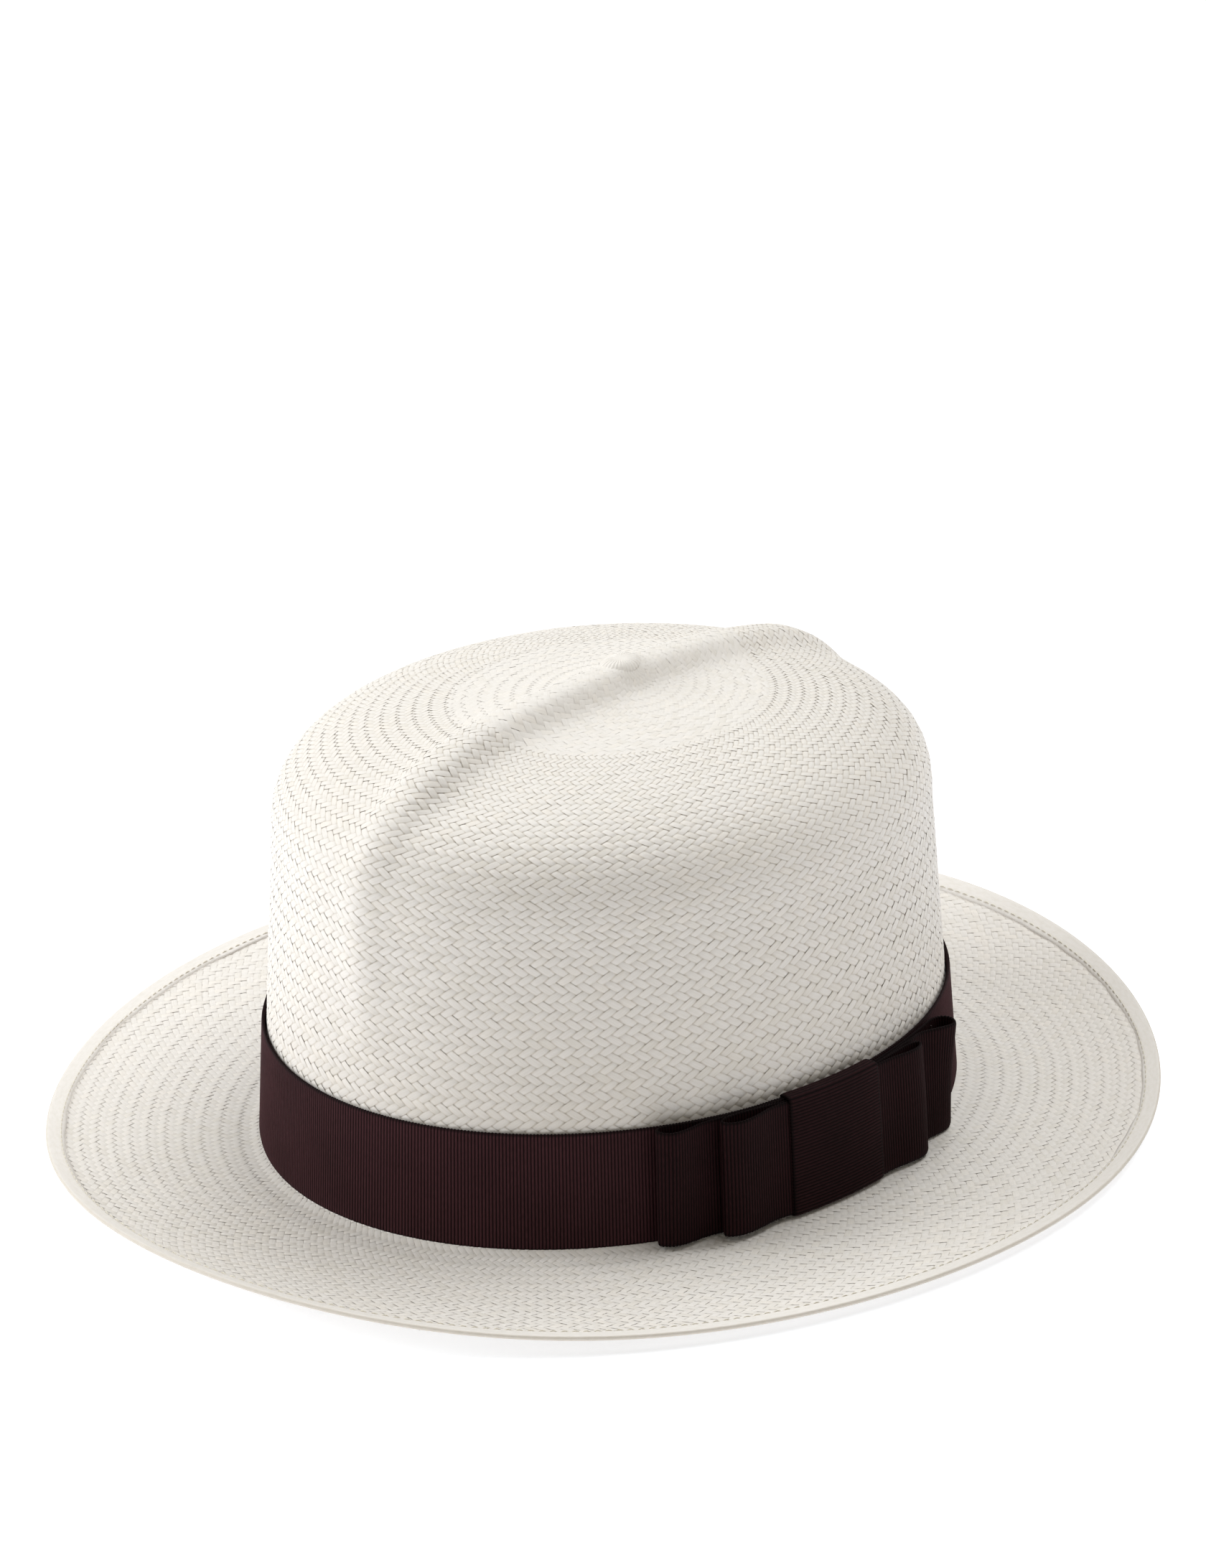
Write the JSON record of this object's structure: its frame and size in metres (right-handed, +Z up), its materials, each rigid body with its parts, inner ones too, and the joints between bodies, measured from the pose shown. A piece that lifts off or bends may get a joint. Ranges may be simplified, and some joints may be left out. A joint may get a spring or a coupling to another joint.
{
  "type": "panama hat",
  "caption": "Cream woven-straw panama hat with a ridged optimo crown, a flat stitched brim, a dark ribbon band with a side bow and a leather sweatband.",
  "frame": {"origin": "middle of the brim's outline, on the surface that the hat rests on", "axes": "+Z up, -Y to the front of the hat, +X to the wearer's left, where the bow is; in metres, at real size"},
  "size_m": [0.281, 0.312, 0.1246],
  "materials": {
    "straw": "bleached toquilla straw in a fine diagonal twill weave, satin",
    "cream_thread": "matt cotton sewing thread",
    "band_ribbon": "dark aubergine grosgrain with upright ribs, soft sheen",
    "bow_ribbon": "dark aubergine grosgrain, soft sheen",
    "dark_thread": "matt dark sewing thread",
    "sweatband_leather": "tan roan leather, fine grain, satin",
    "reed_tape": "brown cloth tape over a thin reed",
    "tan_thread": "waxed tan sewing thread",
    "small_ribbon": "narrow dark satin ribbon"
  },
  "bodies": {
    "root": {"straw_crown": "straw", "straw_brim": "straw", "hem_stitching": "cream_thread", "hatband": "band_ribbon", "bow_long_loops": "bow_ribbon", "bow_short_loops": "bow_ribbon", "bow_knot": "bow_ribbon", "bow_tack_front_low": "dark_thread", "bow_tack_front_high": "dark_thread", "bow_tack_back_low": "dark_thread", "bow_tack_back_high": "dark_thread", "sweatband": "sweatband_leather", "sweatband_reed": "reed_tape", "sweatband_stitching": "tan_thread", "sweatband_seam": "tan_thread", "sweatband_bow": "small_ribbon", "sweatband_bow_knot": "small_ribbon"}
  },
  "joints": []
}
